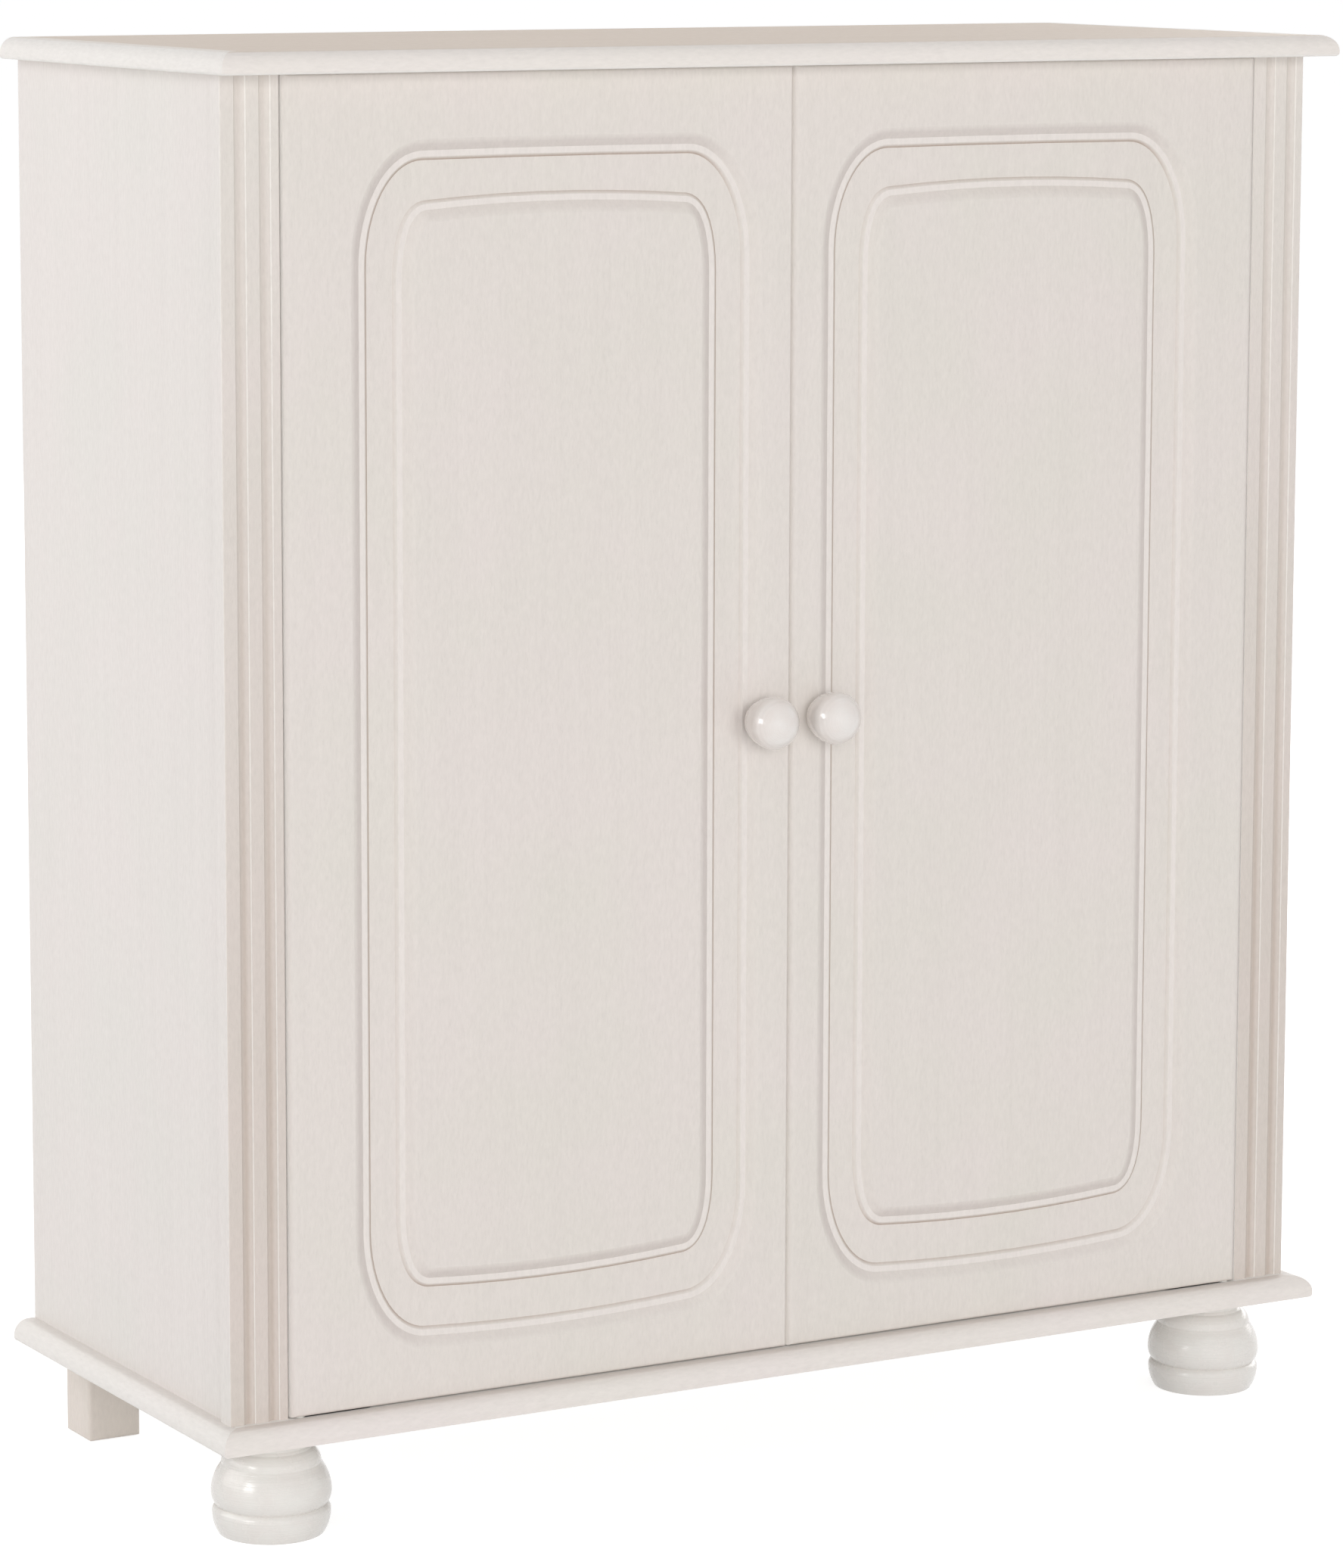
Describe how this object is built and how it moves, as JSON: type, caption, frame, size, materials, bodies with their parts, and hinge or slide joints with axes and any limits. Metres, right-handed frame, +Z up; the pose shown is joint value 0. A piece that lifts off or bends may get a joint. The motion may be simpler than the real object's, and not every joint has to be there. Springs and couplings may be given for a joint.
{
  "type": "highboard",
  "caption": "Painted wooden highboard with hinged moulded doors, fluted pilasters, turned knobs, moulded top and base boards and bun feet, with shelves inside.",
  "frame": {"origin": "on the floor, in the middle of the width and of the depth over the knobs", "axes": "+X to the right of someone facing the doors, +Y to the back, +Z up"},
  "size_m": [0.889, 0.3714, 1],
  "materials": {
    "painted_wood": "off-white paint, satin",
    "glossy_wood": "off-white lacquer, glossy",
    "shelf_board": "off-white, satin",
    "hardboard": "plain hardboard",
    "beech": "bare",
    "steel": "zinc plated",
    "nylon": "plain",
    "catch_plastic": "plain",
    "magnet": "bare ferrite"
  },
  "bodies": {
    "cabinet": {"back_nails": "steel", "back_panel": "hardboard", "base_board": "painted_wood", "carcass_dowels": "beech", "catch_magnets": "magnet", "catch_screws": "steel", "foot_bolts": "steel", "left_bottom_pivot_pin": "steel", "left_bottom_pivot_plate": "steel", "left_catch": "catch_plastic", "left_front_foot": "glossy_wood", "left_pilaster": "painted_wood", "left_rear_foot": "painted_wood", "left_side_panel": "painted_wood", "left_top_pivot_pin": "steel", "left_top_pivot_plate": "steel", "lower_shelf": "shelf_board", "middle_shelf": "shelf_board", "pilaster_dowels": "beech", "pivot_plate_screws": "steel", "pivot_washers": "nylon", "right_bottom_pivot_pin": "steel", "right_bottom_pivot_plate": "steel", "right_catch": "catch_plastic", "right_front_foot": "glossy_wood", "right_pilaster": "painted_wood", "right_rear_foot": "painted_wood", "right_side_panel": "painted_wood", "right_top_pivot_pin": "steel", "right_top_pivot_plate": "steel", "shelf_dowels": "beech", "shelf_pins": "steel", "top_board": "painted_wood", "upper_shelf": "shelf_board"},
    "left_door_assembly": {"left_bottom_door_leaf": "steel", "left_door": "painted_wood", "left_knob": "glossy_wood", "left_knob_screw": "steel", "left_leaf_screws": "steel", "left_strike_plate": "steel", "left_strike_screw": "steel", "left_top_door_leaf": "steel"},
    "right_door_assembly": {"right_bottom_door_leaf": "steel", "right_door": "painted_wood", "right_knob": "glossy_wood", "right_knob_screw": "steel", "right_leaf_screws": "steel", "right_strike_plate": "steel", "right_strike_screw": "steel", "right_top_door_leaf": "steel"}
  },
  "joints": [
    {"name": "left_door_hinge", "type": "hinge", "parent": "cabinet", "child": "left_door_assembly", "pos_m": [-0.3787, -0.14275, 0.5355], "axis": [0, 0, -1], "range_deg": [0, 100]},
    {"name": "right_door_hinge", "type": "hinge", "parent": "cabinet", "child": "right_door_assembly", "pos_m": [0.3787, -0.14275, 0.5355], "axis": [0, 0, 1], "range_deg": [0, 100]}
  ]
}
